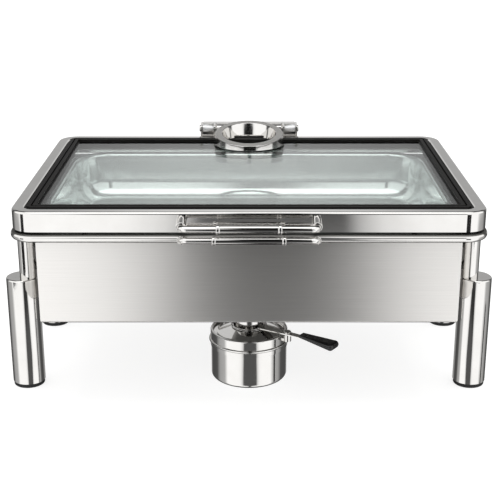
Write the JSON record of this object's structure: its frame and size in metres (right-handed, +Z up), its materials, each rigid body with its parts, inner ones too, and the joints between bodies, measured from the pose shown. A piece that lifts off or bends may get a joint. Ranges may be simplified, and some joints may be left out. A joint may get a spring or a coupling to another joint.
{
  "type": "chafing dish",
  "caption": "Rectangular stainless-steel chafing dish with a hinged glass lid, a food pan in a water pan, a stand on tubular legs and a fuel burner underneath.",
  "frame": {"origin": "centre of the footprint, on the table", "axes": "+X to the right seen from the front, +Y to the hinge at the rear, +Z up"},
  "size_m": [0.639, 0.4818, 0.2939],
  "materials": {
    "brushed_steel": "long-grain brushed stainless steel",
    "polished_steel": "mirror-polished stainless steel",
    "satin_steel": "satin drawn stainless steel",
    "fastener_steel": "plain turned steel",
    "damper_metal": "bright zinc plate",
    "glass": "clear tempered float glass",
    "gasket_rubber": "moulded matt rubber",
    "foot_rubber": "moulded matt rubber",
    "black_plastic": "moulded gloss"
  },
  "bodies": {
    "stand": {"front_panel": "brushed_steel", "rear_panel": "brushed_steel", "left_panel": "brushed_steel", "right_panel": "brushed_steel", "leg_rod_front_left": "polished_steel", "leg_rod_front_right": "polished_steel", "leg_rod_rear_left": "polished_steel", "leg_rod_rear_right": "polished_steel", "leg_sleeve_front_left": "polished_steel", "leg_sleeve_front_right": "polished_steel", "leg_sleeve_rear_left": "polished_steel", "leg_sleeve_rear_right": "polished_steel", "foot_pad_front_left": "foot_rubber", "foot_pad_front_right": "foot_rubber", "foot_pad_rear_left": "foot_rubber", "foot_pad_rear_right": "foot_rubber", "leg_spacers": "fastener_steel", "leg_bolts": "fastener_steel"},
    "dish": {"water_pan": "polished_steel", "food_pan": "satin_steel", "pan_handle_bar": "polished_steel", "pan_handle_grip": "polished_steel", "pan_handle_post_left": "polished_steel", "pan_handle_post_right": "polished_steel", "pan_handle_screws": "fastener_steel", "hinge_bracket": "polished_steel", "hinge_housing_left": "polished_steel", "hinge_housing_right": "polished_steel", "hinge_pin": "fastener_steel", "hinge_pin_caps": "polished_steel", "hinge_damper_left": "damper_metal", "hinge_damper_right": "damper_metal", "bracket_screws": "fastener_steel", "housing_screws": "fastener_steel"},
    "lid": {"lid_frame": "polished_steel", "glass_pane": "glass", "glass_gasket": "gasket_rubber", "lid_handle_bar": "polished_steel", "lid_handle_grip": "polished_steel", "lid_handle_post_left": "polished_steel", "lid_handle_post_right": "polished_steel", "lid_handle_screws": "fastener_steel", "hinge_arm": "polished_steel", "hinge_arm_screws": "fastener_steel", "slanted_ring": "polished_steel", "ring_seal": "gasket_rubber", "lid_bumpers": "gasket_rubber"},
    "burner": {"burner_cup": "polished_steel", "burner_collar": "polished_steel", "burner_cone": "polished_steel", "pivot_bracket": "polished_steel", "pivot_pin": "fastener_steel"},
    "damper": {"damper_cap": "polished_steel", "damper_arm": "polished_steel", "damper_grip": "black_plastic", "grip_rivet": "fastener_steel"}
  },
  "joints": [
    {"name": "dish_lift", "type": "slide", "parent": "stand", "child": "dish", "axis": [0, 0, 1], "range_m": [0, 0.12]},
    {"name": "lid_hinge", "type": "hinge", "parent": "dish", "child": "lid", "pos_m": [0, 0.219, 0.2791], "axis": [-1, 0, 0], "range_deg": [0, 90]},
    {"name": "burner_slide", "type": "slide", "parent": "stand", "child": "burner", "axis": [0, -1, 0], "range_m": [-0.08, 0.2]},
    {"name": "damper_pivot", "type": "hinge", "parent": "burner", "child": "damper", "pos_m": [0.0514, -0.11367, 0.0732], "axis": [0, 0, 1], "range_deg": [0, 60]}
  ]
}
